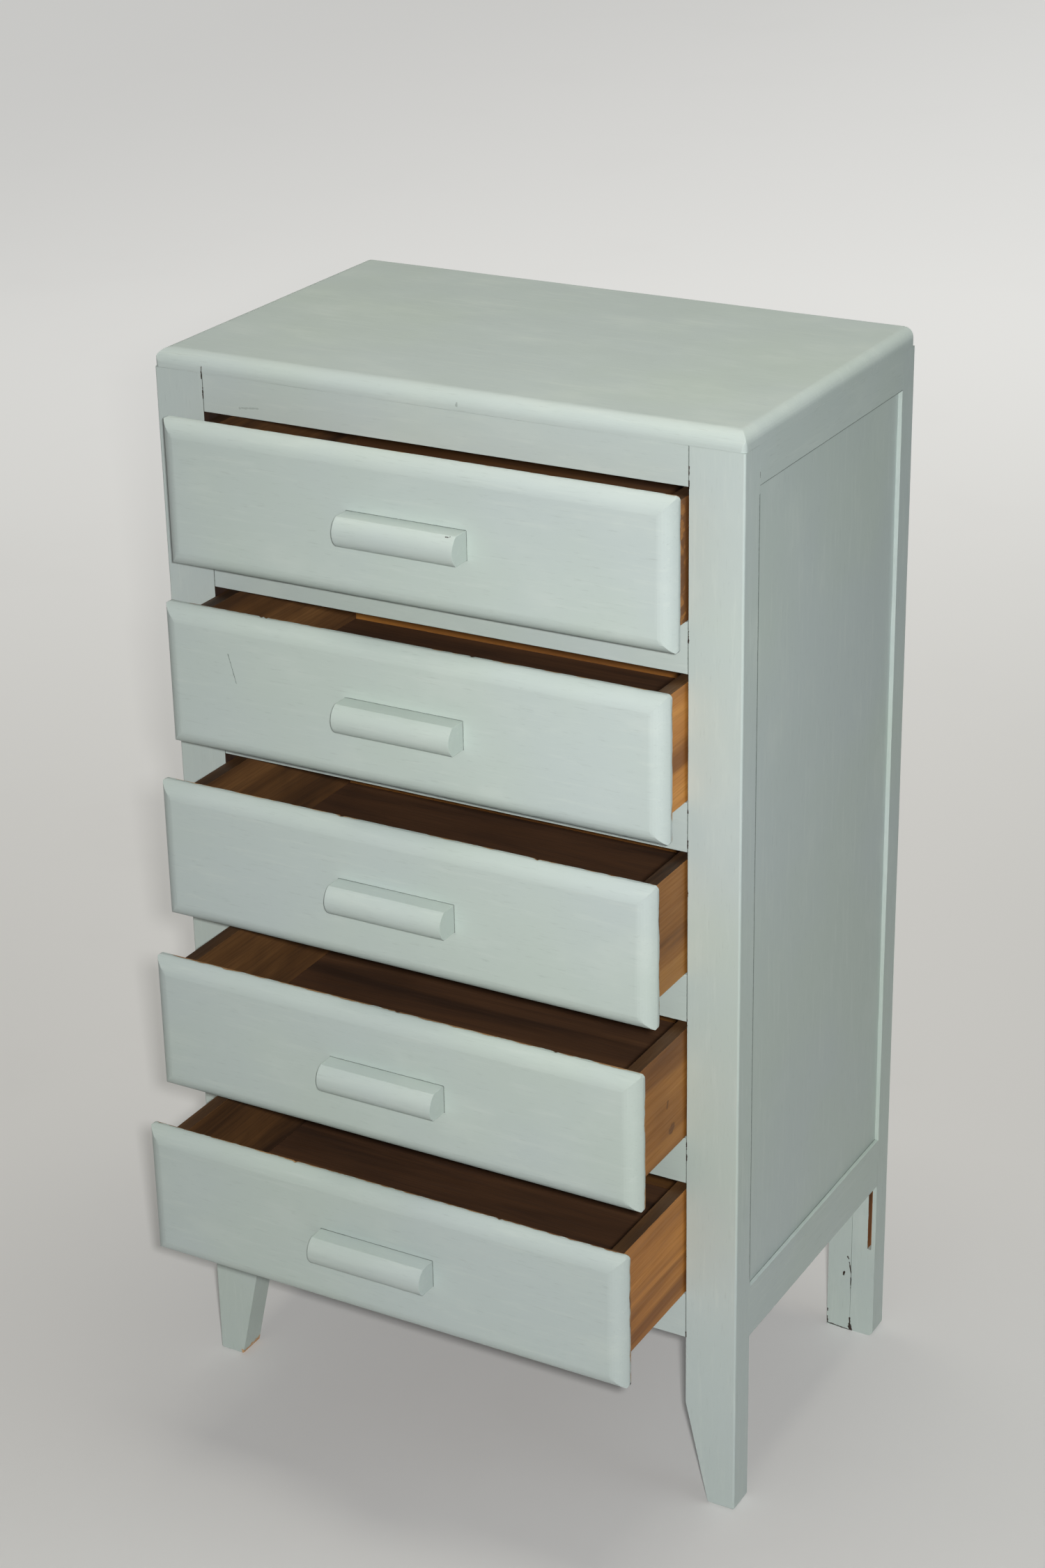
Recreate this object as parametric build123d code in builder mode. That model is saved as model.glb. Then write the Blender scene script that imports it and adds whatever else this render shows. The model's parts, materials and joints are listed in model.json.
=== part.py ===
from build123d import *
from math import sqrt
import os

# A tall five-drawer dresser in painted wood, with each drawer part of the way out.
# It stands on z = 0 with its carcass centred on the origin. The drawer fronts face -Y,
# and +X is on the right of someone who faces them. All sizes are in millimetres.

height = 1020
width = 562
depth = 340

# Posts, which run down to the floor as legs.
post_width = 49
front_post_thickness = 28
rear_post_thickness = 24
post_arris = 2
leg_taper = 23
leg_taper_height = 103
foot_chamfer = 2
rear_foot_round = 6
glue_line = 0.2

# Top board.
top_thickness = 16
top_front_round = 14
top_side_round = 11
top_corner_round = 5

# Rails.
rail_height = 45
rail_thickness = 22
bottom_rail_z = 172.5
side_rail_height = 51.5
side_rail_thickness = 24

# Side panels in their grooves, and the back panel in its rabbet.
panel_thickness = 4
panel_inset = 4
groove_depth = 8
groove_end_z = 99
rabbet_width = 10

# Drawer runners and guides inside the carcass.
runner_width = 40
runner_height = 20
guide_width = 14
guide_height = 18
runner_play = 1

# Fixings.
dowel_radius = 4
rail_dowel_length = 40
runner_dowel_length = 30
runner_dowel_in_post = 8
top_dowel_length = 20
rear_dowel_inset = 7
side_dowel_inset = 8
runner_dowel_inset = 12
top_dowel_inset = 13
top_rail_dowels = 3
top_rail_dowel_spacing = 150
top_side_dowels = 2
top_side_dowel_spacing = 160
pin_radius = 1.1
pin_length = 16
pins_per_rail = 4
pin_rail_spacing = 120
pins_per_post = 5
pin_post_spacing = 150
screw_radius = 2
screw_head_radius = 4
screw_head_depth = 2.5
screw_in_handle = 13
screw_spacing = 76
screw_slot = 1

# Drawers, numbered from the top. The pull is how far each one stands open, and the drop is how
# far its front hangs below its opening, which differs a little from one to the next.
drawer_pulls = (38, 52, 75, 101, 129)
drawer_drops = (11, 13, 12.5, 14, 14)
opening_height = 114.5
closed_gap = 0.5
side_clearance = 2
runner_clearance = 0.5
front_width = 488
front_height = 131.5
front_edge = 3
front_lip = 14
front_round = 16
front_corner_round = 4
tongue_depth = 8
box_length = 268
box_height = 106
box_wall = 12.7
bottom_thickness = 4
bottom_groove_z = 13
bottom_groove_depth = 5

# Handle bar.
handle_length = 114.5
handle_height = 25.4
handle_flat = 16
handle_depth = 24
handle_foot = 17.5

# Places worked out from the sizes above.
side_x = width / 2
front_y = -depth / 2
rear_y = depth / 2
post_top = height - top_thickness
post_inner_x = side_x - post_width
front_post_back_y = front_y + front_post_thickness
rear_post_front_y = rear_y - rear_post_thickness
panel_outer_x = side_x - panel_inset
panel_inner_x = panel_outer_x - panel_thickness
rail_back_y = front_y + rail_thickness
back_panel_y = rear_y - panel_thickness
rear_rail_front_y = rear_post_front_y
side_rail_inner_x = side_x - side_rail_thickness
runner_outer_x = side_rail_inner_x - runner_play
runner_inner_x = runner_outer_x - runner_width
box_outer_x = post_inner_x - side_clearance
box_inner_x = box_outer_x - box_wall
drawer_count = len(drawer_pulls)
pitch = opening_height + rail_height
lowest_opening_z = bottom_rail_z + rail_height
opening_floors = [lowest_opening_z + pitch * (drawer_count - 1 - i) for i in range(drawer_count)]
top_rail_z = opening_floors[0] + opening_height
far = 2 * height


def save(piece, name):
    """Label a finished piece and write it to its own file."""
    piece.part.label = name
    export_step(piece.part, f"parts/{name}.step")


def span(low, high):
    """The middle and the length of a stretch."""
    return (low + high) / 2, high - low


def draw_rectangle(x, y):
    """A rectangle in the current sketch, from its low and high ends along x and y."""
    middle_x, size_x = span(*x)
    middle_y, size_y = span(*y)
    with Locations((middle_x, middle_y)):
        Rectangle(size_x, size_y)


def board(x, y, z, cuts=()):
    """A straight board between its low and high faces, less the pieces let into it."""
    with BuildPart() as piece:
        with BuildSketch(Plane.XY.offset(z[0])):
            draw_rectangle(x, y)
        extrude(amount=z[1] - z[0])
        for cut in cuts:
            add(cut, mode=Mode.SUBTRACT)
    return piece


def mirrored(x, side):
    """A stretch along x on the right (side 1) or its mirror on the left (side -1)."""
    return tuple(sorted((side * x[0], side * x[1])))


# --- fixings -------------------------------------------------------------------------


def pair_in(z_low, z_high):
    """The heights of two dowels in the end of a rail."""
    middle, size = span(z_low, z_high)
    return middle - size / 4, middle + size / 4


def make_dowels():
    """Every dowel of the frame, each a separate peg."""
    front_rails = [(bottom_rail_z, lowest_opening_z)]
    front_rails += [(z - rail_height, z) for z in opening_floors[:-1]]
    front_rails += [(top_rail_z, post_top)]
    rear_rails = [(bottom_rail_z, lowest_opening_z), (top_rail_z, post_top)]
    side_rails = [(bottom_rail_z, bottom_rail_z + side_rail_height), (top_rail_z, post_top)]
    front_points = [(front_y + rail_thickness / 2, z) for r in front_rails for z in pair_in(*r)]
    rear_points = [(back_panel_y - rear_dowel_inset, z) for r in rear_rails for z in pair_in(*r)]
    side_points = [(side_rail_inner_x + side_dowel_inset, z) for r in side_rails for z in pair_in(*r)]
    runner_points = [(post_inner_x + runner_dowel_inset, z - runner_height / 2) for z in opening_floors]
    offset = runner_dowel_length / 2 - runner_dowel_in_post
    with BuildPart() as dowels:
        for side in (-1, 1):
            with BuildSketch(Plane.YZ.offset(side * post_inner_x)):
                with Locations(*front_points, *rear_points):
                    Circle(dowel_radius)
            extrude(amount=rail_dowel_length / 2, both=True)
        for y in (front_post_back_y + offset, rear_post_front_y - offset):
            with BuildSketch(Plane.XZ.offset(-y)):
                for side in (-1, 1):
                    with Locations(*[(side * x, z) for x, z in side_points + runner_points]):
                        Circle(dowel_radius)
            extrude(amount=runner_dowel_length / 2, both=True)
        with BuildSketch(Plane.XY.offset(post_top)):
            along_rails = (top_rail_dowel_spacing, 2 * (rear_y - top_dowel_inset))
            with GridLocations(*along_rails, top_rail_dowels, 2):
                Circle(dowel_radius)
            along_sides = (2 * (side_rail_inner_x + side_dowel_inset), top_side_dowel_spacing)
            with GridLocations(*along_sides, 2, top_side_dowels):
                Circle(dowel_radius)
        extrude(amount=top_dowel_length / 2, both=True)
    return dowels


def make_panel_pins():
    """Small pins, driven flush, that hold the back panel to the rails and rear posts."""
    rail_middles = (bottom_rail_z + rail_height / 2, (top_rail_z + post_top) / 2)
    with BuildPart() as pins:
        with BuildSketch(Plane.XZ.offset(-rear_y)):
            for z in rail_middles:
                with Locations((0, z)):
                    with GridLocations(pin_rail_spacing, 1, pins_per_rail, 1):
                        Circle(pin_radius)
            rabbet_middle_x = post_inner_x + rabbet_width / 2
            with Locations((0, sum(rail_middles) / 2)):
                with GridLocations(2 * rabbet_middle_x, pin_post_spacing, 2, pins_per_post):
                    Circle(pin_radius)
        extrude(amount=pin_length)
    return pins


dowels = make_dowels()
panel_pins = make_panel_pins()


# --- carcass -------------------------------------------------------------------------


def side_panel(side):
    """A thin plywood panel, let into grooves on all four sides."""
    return board(
        mirrored((panel_inner_x, panel_outer_x), side),
        (front_post_back_y - groove_depth, rear_post_front_y + groove_depth),
        (bottom_rail_z + side_rail_height - groove_depth, top_rail_z + groove_depth),
    )


def front_post(side):
    """A front post and leg: straight outside, tapered inside below the bottom rail."""
    foot_inner_x = post_inner_x + leg_taper
    outline = [
        (side_x, 0),
        (side_x, post_top),
        (post_inner_x, post_top),
        (post_inner_x, leg_taper_height),
        (foot_inner_x, 0),
    ]
    with BuildPart() as post:
        with BuildSketch(Plane.XZ.offset(-front_y)):
            with BuildLine():
                Polyline(*[(side * x, z) for x, z in outline], close=True)
            make_face()
        extrude(amount=-front_post_thickness)
        uprights = post.edges().filter_by(Axis.Z).sort_by(Axis.Y)[:2]
        fillet(uprights.sort_by(Axis.X)[-1 if side > 0 else 0], post_arris)
        chamfer(post.faces().sort_by(Axis.Z)[0].edges(), foot_chamfer)
        with BuildSketch(Plane.XY.offset(groove_end_z)):
            draw_rectangle(
                mirrored((panel_inner_x, panel_outer_x), side),
                (front_post_back_y - groove_depth, front_post_back_y),
            )
        extrude(amount=post_top - groove_end_z, mode=Mode.SUBTRACT)
        add(dowels.part, mode=Mode.SUBTRACT)
    return post


def rear_post(side):
    """A rear post and leg, glued up from two strips, with a rabbet for the back panel."""
    seam_x = side_x - post_width / 2
    strips = ((post_inner_x, seam_x - glue_line / 2), (seam_x + glue_line / 2, side_x))
    with BuildPart() as post:
        with BuildSketch():
            for strip in strips:
                draw_rectangle(mirrored(strip, side), (rear_post_front_y, rear_y))
        extrude(amount=post_top)
        foot_edges = post.faces().sort_by(Axis.Z)[:2].edges().filter_by(Axis.Y)
        fillet(foot_edges.sort_by(Axis.X)[-1 if side > 0 else 0], rear_foot_round)
        with BuildSketch(Plane.XY.offset(groove_end_z)):
            draw_rectangle(
                mirrored((panel_inner_x, panel_outer_x), side),
                (rear_post_front_y, rear_post_front_y + groove_depth),
            )
        extrude(amount=post_top - groove_end_z, mode=Mode.SUBTRACT)
        with BuildSketch(Plane.XY.offset(bottom_rail_z)):
            draw_rectangle(
                mirrored((post_inner_x, post_inner_x + rabbet_width), side),
                (back_panel_y, rear_y),
            )
        extrude(amount=post_top - bottom_rail_z, mode=Mode.SUBTRACT)
        add(dowels.part, mode=Mode.SUBTRACT)
        add(panel_pins.part, mode=Mode.SUBTRACT)
    return post


def top_board():
    """The top: rolled over at the front and sides, square at the back."""
    with BuildPart() as top:
        with BuildSketch(Plane.YZ):
            with BuildLine():
                Polyline(
                    (front_y + top_front_round, height),
                    (rear_y, height),
                    (rear_y, post_top),
                    (front_y, post_top),
                    (front_y, height - top_front_round),
                )
                RadiusArc(
                    (front_y, height - top_front_round),
                    (front_y + top_front_round, height),
                    top_front_round,
                )
            make_face()
        extrude(amount=side_x, both=True)
        with BuildSketch(Plane.XZ):
            with BuildLine():
                Polyline(
                    (-side_x, height - top_side_round),
                    (-side_x, post_top),
                    (side_x, post_top),
                    (side_x, height - top_side_round),
                )
                RadiusArc(
                    (side_x, height - top_side_round),
                    (side_x - top_side_round, height),
                    -top_side_round,
                )
                Line((side_x - top_side_round, height), (top_side_round - side_x, height))
                RadiusArc(
                    (top_side_round - side_x, height),
                    (-side_x, height - top_side_round),
                    -top_side_round,
                )
            make_face()
        extrude(amount=far, both=True, mode=Mode.INTERSECT)
        with BuildSketch():
            RectangleRounded(width, depth, top_corner_round)
        extrude(amount=far, mode=Mode.INTERSECT)
        add(dowels.part, mode=Mode.SUBTRACT)
    return top


def front_rail(z_low, z_high):
    """A rail across the front, between the posts."""
    return board(
        (-post_inner_x, post_inner_x), (front_y, rail_back_y), (z_low, z_high), (dowels.part,)
    )


def rear_rail(z_low, z_high):
    """A rail across the back, behind which the back panel is pinned."""
    return board(
        (-post_inner_x, post_inner_x),
        (rear_rail_front_y, back_panel_y),
        (z_low, z_high),
        (dowels.part, panel_pins.part),
    )


def side_rail(side, z_low, z_high):
    """A rail between the posts of one side, grooved for the side panel."""
    return board(
        mirrored((side_rail_inner_x, side_x), side),
        (front_post_back_y, rear_post_front_y),
        (z_low, z_high),
        (dowels.part, side_panel(side).part),
    )


def inner_battens(side, x, low, high):
    """Five battens on one side, front post to rear post, one at each drawer's floor."""
    with BuildPart() as battens:
        for floor in opening_floors:
            with BuildSketch(Plane.XY.offset(floor + low)):
                draw_rectangle(mirrored(x, side), (front_post_back_y, rear_post_front_y))
            extrude(amount=high - low)
        add(dowels.part, mode=Mode.SUBTRACT)
    return battens


def drawer_guides():
    """The strips that keep the drawers straight, one on each runner."""
    with BuildPart() as guides:
        for side in (-1, 1):
            for floor in opening_floors:
                with BuildSketch(Plane.XY.offset(floor)):
                    draw_rectangle(
                        mirrored((post_inner_x, post_inner_x + guide_width), side),
                        (front_post_back_y, rear_post_front_y),
                    )
                extrude(amount=guide_height)
    return guides


# --- drawers -------------------------------------------------------------------------


def rolled_section(low, high, back_y, swap):
    """A section that rolls back the two outer edges of a drawer front.

    It runs from low to high, and a little past the front at the ends and the back.
    Swap turns it from (along, y) to (y, along).
    """
    past = 0.5
    face_y = back_y - front_lip
    rolled_depth = front_lip - front_edge
    radius = (front_round**2 + rolled_depth**2) / (2 * rolled_depth)
    end_y = face_y + radius - sqrt(radius**2 - (front_round + past) ** 2)
    turn = (lambda along, y: (y, along)) if swap else (lambda along, y: (along, y))
    with BuildSketch(Plane.YZ if swap else Plane.XY) as section:
        with BuildLine():
            Polyline(
                turn(low - past, end_y),
                turn(low - past, back_y + past),
                turn(high + past, back_y + past),
                turn(high + past, end_y),
            )
            high_start = turn(high - front_round, face_y)
            low_start = turn(low + front_round, face_y)
            TangentArc(high_start, turn(high + past, end_y), tangent=turn(1, 0))
            TangentArc(low_start, turn(low - past, end_y), tangent=turn(-1, 0))
            Line(low_start, high_start)
        make_face()
    return section.sketch


def handle_screws(front_back_y, z):
    """Two countersunk, slotted screws, driven from inside the drawer into the handle."""
    head_y = front_back_y + tongue_depth
    tip_y = front_back_y - front_lip - screw_in_handle
    with BuildPart() as screws:
        for x in (-screw_spacing / 2, screw_spacing / 2):
            with BuildSketch(Plane.XY.offset(z)):
                with BuildLine():
                    Polyline(
                        (x, head_y),
                        (x + screw_head_radius, head_y),
                        (x + screw_radius, head_y - screw_head_depth),
                        (x + screw_radius, tip_y + 2 * screw_radius),
                        (x, tip_y),
                        close=True,
                    )
                make_face()
            revolve(axis=Axis((x, 0, z), (0, 1, 0)))
    return screws


def slotted(screws, front_back_y, z):
    """The same screws with a driver slot across each head."""
    head_y = front_back_y + tongue_depth
    with BuildPart() as piece:
        add(screws.part)
        with BuildSketch(Plane.XZ.offset(-head_y)):
            with Locations((0, z)):
                with GridLocations(screw_spacing, 1, 2, 1):
                    Rectangle(2 * screw_head_radius, screw_slot)
        extrude(amount=screw_slot, mode=Mode.SUBTRACT)
    return piece


def drawer_front(back_y, z_low, tongue_z, bottom, screws):
    """A lipped front: rolled edges outside, and a tongue between the drawer's sides."""
    z_high = z_low + front_height
    side_view = rolled_section(z_low, z_high, back_y, True)
    plan_view = rolled_section(-front_width / 2, front_width / 2, back_y, False)
    with BuildPart() as front:
        with BuildSketch(Plane.XZ.offset(-back_y)):
            with Locations((0, (z_low + z_high) / 2)):
                RectangleRounded(front_width, front_height, front_corner_round)
        extrude(amount=2 * front_lip)
        extrude(side_view, amount=far, both=True, mode=Mode.INTERSECT)
        extrude(plan_view, amount=far, both=True, mode=Mode.INTERSECT)
        with BuildSketch(Plane.XY.offset(tongue_z)):
            draw_rectangle((-box_inner_x, box_inner_x), (back_y, back_y + tongue_depth))
        extrude(amount=box_height)
        add(bottom.part, mode=Mode.SUBTRACT)
        add(screws.part, mode=Mode.SUBTRACT)
    return front


def drawer_handle(face_y, z_middle, screws):
    """A bar with a flat top and foot and a round nose, flat against the drawer front."""
    top_z = z_middle + handle_height / 2
    foot_z = z_middle - handle_height / 2
    with BuildPart() as handle:
        with BuildSketch(Plane.YZ):
            with BuildLine():
                Polyline(
                    (face_y - handle_flat, top_z),
                    (face_y, top_z),
                    (face_y, foot_z),
                    (face_y - handle_foot, foot_z),
                )
                ThreePointArc(
                    (face_y - handle_flat, top_z),
                    (face_y - handle_depth, z_middle),
                    (face_y - handle_foot, foot_z),
                )
            make_face()
        extrude(amount=handle_length / 2, both=True)
        add(screws.part, mode=Mode.SUBTRACT)
    return handle


def make_drawer(number, pull, drop, floor_z):
    """Every piece of one drawer, each in its own file."""
    back_y = front_y - closed_gap - pull
    box_z = floor_z + runner_clearance
    box_back_y = back_y + box_length
    groove_z = box_z + bottom_groove_z
    panel_top_z = groove_z + bottom_thickness
    panel_x = box_inner_x + bottom_groove_depth
    front_z = floor_z - drop
    middle_z = front_z + front_height / 2

    bottom = board(
        (-panel_x, panel_x),
        (back_y + tongue_depth - bottom_groove_depth, box_back_y),
        (groove_z, panel_top_z),
    )
    save(bottom, f"drawer_{number}_bottom")
    for side, name in ((-1, "left"), (1, "right")):
        wall = board(
            mirrored((box_inner_x, box_outer_x), side),
            (back_y, box_back_y),
            (box_z, box_z + box_height),
            (bottom.part,),
        )
        save(wall, f"drawer_{number}_{name}_side")
    back = board(
        (-box_inner_x, box_inner_x),
        (box_back_y - box_wall, box_back_y),
        (panel_top_z, box_z + box_height),
    )
    save(back, f"drawer_{number}_back")
    screws = handle_screws(back_y, middle_z)
    save(drawer_front(back_y, front_z, box_z, bottom, screws), f"drawer_{number}_front")
    save(drawer_handle(back_y - front_lip, middle_z, screws), f"drawer_{number}_handle")
    save(slotted(screws, back_y, middle_z), f"drawer_{number}_handle_screws")


# --- the whole dresser ---------------------------------------------------------------

os.makedirs("parts", exist_ok=True)

save(dowels, "frame_dowels")
save(panel_pins, "back_panel_pins")
save(top_board(), "top_board")
save(front_rail(top_rail_z, post_top), "front_top_rail")
save(front_rail(bottom_rail_z, lowest_opening_z), "front_bottom_rail")
for index, floor in enumerate(opening_floors[:-1]):
    save(front_rail(floor - rail_height, floor), f"divider_rail_{index + 1}")
save(rear_rail(top_rail_z, post_top), "rear_top_rail")
save(rear_rail(bottom_rail_z, lowest_opening_z), "rear_bottom_rail")

for side, name in ((-1, "left"), (1, "right")):
    save(front_post(side), f"front_{name}_post")
    save(rear_post(side), f"rear_{name}_post")
    save(side_panel(side), f"{name}_side_panel")
    save(side_rail(side, top_rail_z, post_top), f"{name}_top_rail")
    bottom_rail_top = bottom_rail_z + side_rail_height
    save(side_rail(side, bottom_rail_z, bottom_rail_top), f"{name}_bottom_rail")
    runner_x = (runner_inner_x, runner_outer_x)
    save(inner_battens(side, runner_x, -runner_height, 0), f"{name}_drawer_runners")
save(drawer_guides(), "drawer_guides")

back_edge_x = post_inner_x + rabbet_width
back_panel = board(
    (-back_edge_x, back_edge_x),
    (back_panel_y, rear_y),
    (bottom_rail_z, post_top),
    (panel_pins.part,),
)
save(back_panel, "back_panel")

for index, floor in enumerate(opening_floors):
    make_drawer(index + 1, drawer_pulls[index], drawer_drops[index], floor)
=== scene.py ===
import json
from math import pi, radians

import bmesh
import bpy
from mathutils import Matrix, Vector, noise

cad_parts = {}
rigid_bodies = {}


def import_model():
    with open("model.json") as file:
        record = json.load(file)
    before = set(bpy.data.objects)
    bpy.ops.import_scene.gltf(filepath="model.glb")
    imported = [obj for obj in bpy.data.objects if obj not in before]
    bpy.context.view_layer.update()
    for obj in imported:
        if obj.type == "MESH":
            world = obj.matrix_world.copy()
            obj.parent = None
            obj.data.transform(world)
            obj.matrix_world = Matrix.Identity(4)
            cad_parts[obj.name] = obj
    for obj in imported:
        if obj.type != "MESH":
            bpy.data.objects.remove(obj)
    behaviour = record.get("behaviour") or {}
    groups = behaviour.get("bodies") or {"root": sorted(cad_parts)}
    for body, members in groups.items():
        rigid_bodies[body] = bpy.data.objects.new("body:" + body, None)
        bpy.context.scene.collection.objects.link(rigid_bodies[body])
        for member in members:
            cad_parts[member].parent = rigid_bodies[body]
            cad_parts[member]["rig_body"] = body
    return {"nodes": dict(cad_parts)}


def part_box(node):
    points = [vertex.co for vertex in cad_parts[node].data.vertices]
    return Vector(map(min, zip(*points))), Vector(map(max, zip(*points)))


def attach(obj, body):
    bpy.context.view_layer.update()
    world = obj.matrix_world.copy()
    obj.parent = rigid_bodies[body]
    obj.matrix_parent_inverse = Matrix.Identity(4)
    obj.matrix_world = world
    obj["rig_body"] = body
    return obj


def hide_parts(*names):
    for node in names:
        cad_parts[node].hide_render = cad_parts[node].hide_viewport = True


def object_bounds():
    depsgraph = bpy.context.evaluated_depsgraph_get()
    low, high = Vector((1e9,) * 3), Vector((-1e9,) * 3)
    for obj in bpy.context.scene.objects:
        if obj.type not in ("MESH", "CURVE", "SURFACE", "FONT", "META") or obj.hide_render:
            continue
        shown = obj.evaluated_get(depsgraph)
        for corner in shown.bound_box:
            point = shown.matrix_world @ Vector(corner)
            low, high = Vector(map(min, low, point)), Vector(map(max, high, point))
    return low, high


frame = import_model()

# The looks of a tall five-drawer dresser in pale green-blue brushed paint, whose drawers are bare wood
# behind their fronts. Everything is in metres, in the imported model's own frame: the dresser stands on
# z = 0, its drawer fronts face -Y and +X is on the right of someone who faces them.

cad_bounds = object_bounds()

# --- sizes ---------------------------------------------------------------------------

MM = 0.001
DRAWERS = (1, 2, 3, 4, 5)
SIDES = ("left", "right")

# Points closer than WELD are one. Faces at less than FLAT_ANGLE are one face, edges at more than
# SHARP_ANGLE are rounded, and edges at less than SMOOTH_ANGLE are shaded smooth.
WELD = 0.01 * MM
FLAT_ANGLE = radians(0.6)
SHARP_ANGLE = radians(28)
SMOOTH_ANGLE = radians(50)

# How wide the rounding is of a painted arris, of one at a joint, and of one of bare wood.
SOFT_ARRIS = 0.4 * MM
SEAM_ARRIS = 0.2 * MM
WOOD_ARRIS = 0.5 * MM
# The size of the cells that painted pieces are cut into, and of those of the large side panels.
CUT = 14 * MM
PANEL_CUT = 24 * MM

# The depth of the slow dents and of the quicker ripples of a painted surface, and how many to a metre.
DENT = 0.15 * MM
DENT_SCALE = 14
RIPPLE = 0.05 * MM
RIPPLE_SCALE = 110

# How far past an arris the paint laps onto a face that is otherwise bare, how much its end wanders
# and over what width it thins out.
LAP = 5 * MM
LAP_SPREAD = 7 * MM
LAP_EDGE = 0.3 * MM
# How wide the dark lines of dirt and painted shade in the corners and along the joints are, and how
# much their edge wanders.
CREASE = 0.75 * MM
CREASE_SPREAD = 0.8 * MM
# How far the paint beside a joint has flaked at most, and how soft the edges of its marks are.
SEAM_REACH = 1.6 * MM
PAINT_EDGE = 0.25 * MM

# How deep the relief of each finish is.
WOOD_RELIEF = 0.12 * MM
BRUSH_RELIEF = 0.09 * MM
PAINT_THICKNESS = 0.25 * MM
STEEL_RELIEF = 0.05 * MM

POST_INNER_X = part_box("front_top_rail")[1].x
FRONT_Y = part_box("front_top_rail")[0].y
REAR_Y = cad_bounds[1].y
SIDE_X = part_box("top_board")[1].x
TOP_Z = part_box("top_board")[1].z
TOP_SEAM_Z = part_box("top_board")[0].z
BOTTOM_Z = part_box("front_bottom_rail")[0].z
POST_BACK_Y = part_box("front_right_post")[1].y
REAR_POST_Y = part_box("rear_right_post")[0].y
# Where the two strips of each rear post are glued together.
OUTER_STRIP = 24.5 * MM
LEG_SEAM_X = SIDE_X - OUTER_STRIP
PANEL_LOW_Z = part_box("right_bottom_rail")[1].z
PANEL_HIGH_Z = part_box("right_top_rail")[0].z
PANEL_INNER_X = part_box("right_side_panel")[0].x
PANEL_OUTER_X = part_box("right_side_panel")[1].x


# --- materials -----------------------------------------------------------------------


def shade(red, green, blue):
    """A display colour, from 0 to 255, as the linear colour that a shader takes."""
    def linear(value):
        value /= 255
        return value / 12.92 if value <= 0.04045 else ((value + 0.055) / 1.055) ** 2.4

    return linear(red), linear(green), linear(blue), 1.0


# Sockets of the colour mix node, which shares their names with its other data types.
MIX_FIRST, MIX_SECOND, MIX_RESULT = 6, 7, 2


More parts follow.
